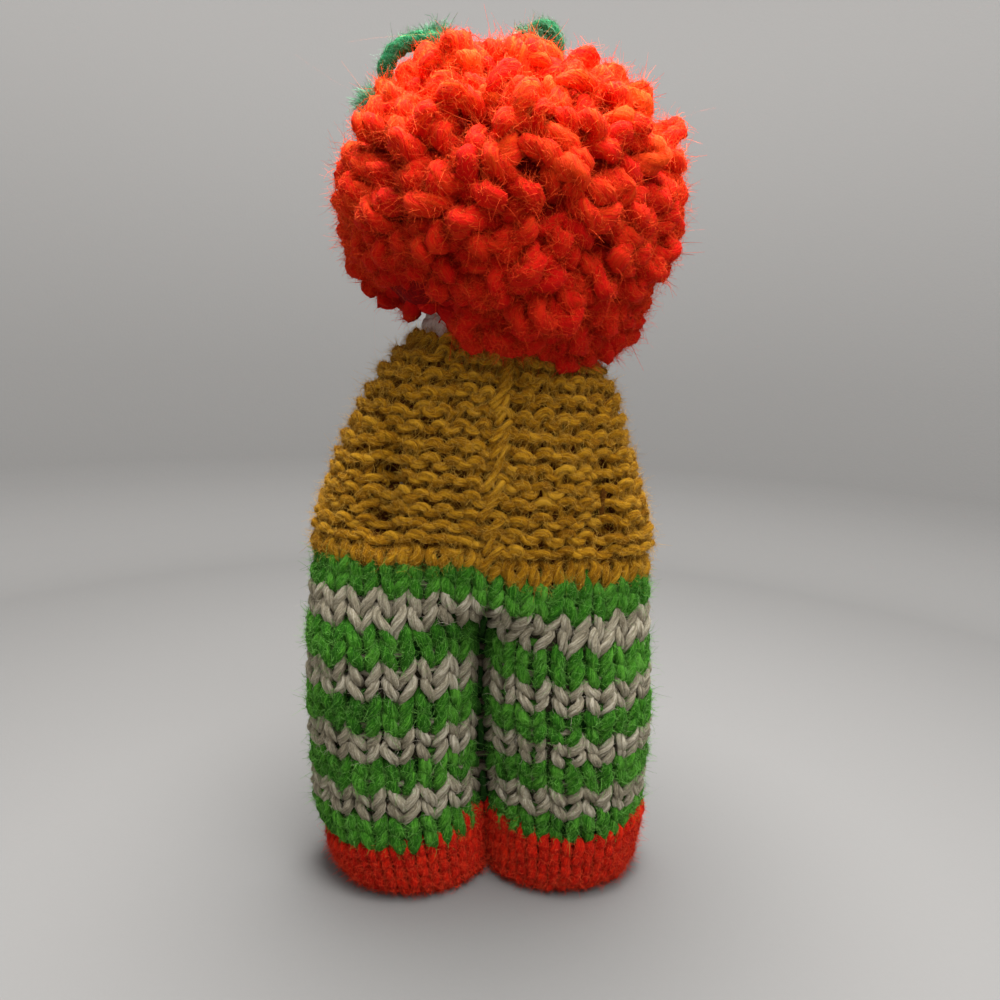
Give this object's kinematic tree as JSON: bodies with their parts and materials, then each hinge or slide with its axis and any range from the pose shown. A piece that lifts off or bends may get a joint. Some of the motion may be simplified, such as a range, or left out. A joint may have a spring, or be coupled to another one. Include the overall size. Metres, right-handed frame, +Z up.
{
  "type": "knitted doll",
  "caption": "Small stuffed knitted doll with a mop of looped yarn hair, yarn bows, a purl-side sweater, striped trousers and shoes. Its soft gathered neck turns, nods and tilts.",
  "frame": {"origin": "centre of the bounding box at the level of the soles", "axes": "+Z up through the head, the face looks along -Y, the sweater's back seam looks along +Y, the doll's own left side is +X"},
  "size_m": [0.072, 0.0615, 0.1698],
  "materials": {
    "shoe_orange_yarn": "knitted wool-like yarn, soft and matt",
    "trouser_green_yarn": "knitted yarn with a brushed, fuzzy surface",
    "trouser_grey_yarn": "knitted smooth yarn with visible plies",
    "sweater_mustard_yarn": "knitted yarn with the purl side out, matt",
    "skin_yarn": "knitted pale yarn, matt",
    "hair_orange_yarn": "loops of thick soft yarn, fuzzy",
    "bow_green_yarn": "thick yarn, tied, with frayed ends",
    "eye_black_yarn": "embroidered dark yarn",
    "mouth_red_yarn": "embroidered red yarn",
    "seam_yarn": "sewing yarn, matt",
    "fibre_fill": "loose fibre fill, matt"
  },
  "bodies": {
    "body": {"shoe_left": "shoe_orange_yarn", "shoe_right": "shoe_orange_yarn", "trouser_green_1": "trouser_green_yarn", "trouser_green_2": "trouser_green_yarn", "trouser_green_3": "trouser_green_yarn", "trouser_green_4": "trouser_green_yarn", "trouser_green_5": "trouser_green_yarn", "trouser_grey_1": "trouser_grey_yarn", "trouser_grey_2": "trouser_grey_yarn", "trouser_grey_3": "trouser_grey_yarn", "trouser_grey_4": "trouser_grey_yarn", "sweater_torso": "sweater_mustard_yarn", "sweater_arm_left": "sweater_mustard_yarn", "sweater_arm_right": "sweater_mustard_yarn", "back_seam_yarn": "seam_yarn", "arm_stitch_left": "seam_yarn", "arm_stitch_right": "seam_yarn", "leg_dividing_yarn": "trouser_green_yarn", "stuffing_torso": "fibre_fill", "stuffing_arm_left": "fibre_fill", "stuffing_arm_right": "fibre_fill", "stuffing_leg_left": "fibre_fill", "stuffing_leg_right": "fibre_fill"},
    "neck_ring": {"neck_gather_yarn": "skin_yarn"},
    "neck_core": {"stuffing_neck": "fibre_fill"},
    "head": {"stuffing_head": "fibre_fill", "head_knit": "skin_yarn", "crown_gather_yarn": "skin_yarn", "eye_left": "eye_black_yarn", "eye_right": "eye_black_yarn", "mouth": "mouth_red_yarn", "hair_crown": "hair_orange_yarn", "hair_back": "hair_orange_yarn", "hair_left": "hair_orange_yarn", "hair_right": "hair_orange_yarn", "hair_fringe": "hair_orange_yarn", "bow_left": "bow_green_yarn", "bow_top": "bow_green_yarn"}
  },
  "joints": [
    {"name": "head_turn", "type": "hinge", "parent": "body", "child": "neck_ring", "pos_m": [0, 0, 0.109], "axis": [0, 0, 1], "range_deg": [-25, 25], "stiffness_Nm_per_rad": 0.012},
    {"name": "head_nod", "type": "hinge", "parent": "neck_ring", "child": "neck_core", "pos_m": [0, 0, 0.109], "axis": [1, 0, 0], "range_deg": [-10, 10], "stiffness_Nm_per_rad": 0.012},
    {"name": "head_tilt", "type": "hinge", "parent": "neck_core", "child": "head", "pos_m": [0, 0, 0.109], "axis": [0, 1, 0], "range_deg": [-8, 8], "stiffness_Nm_per_rad": 0.012}
  ]
}
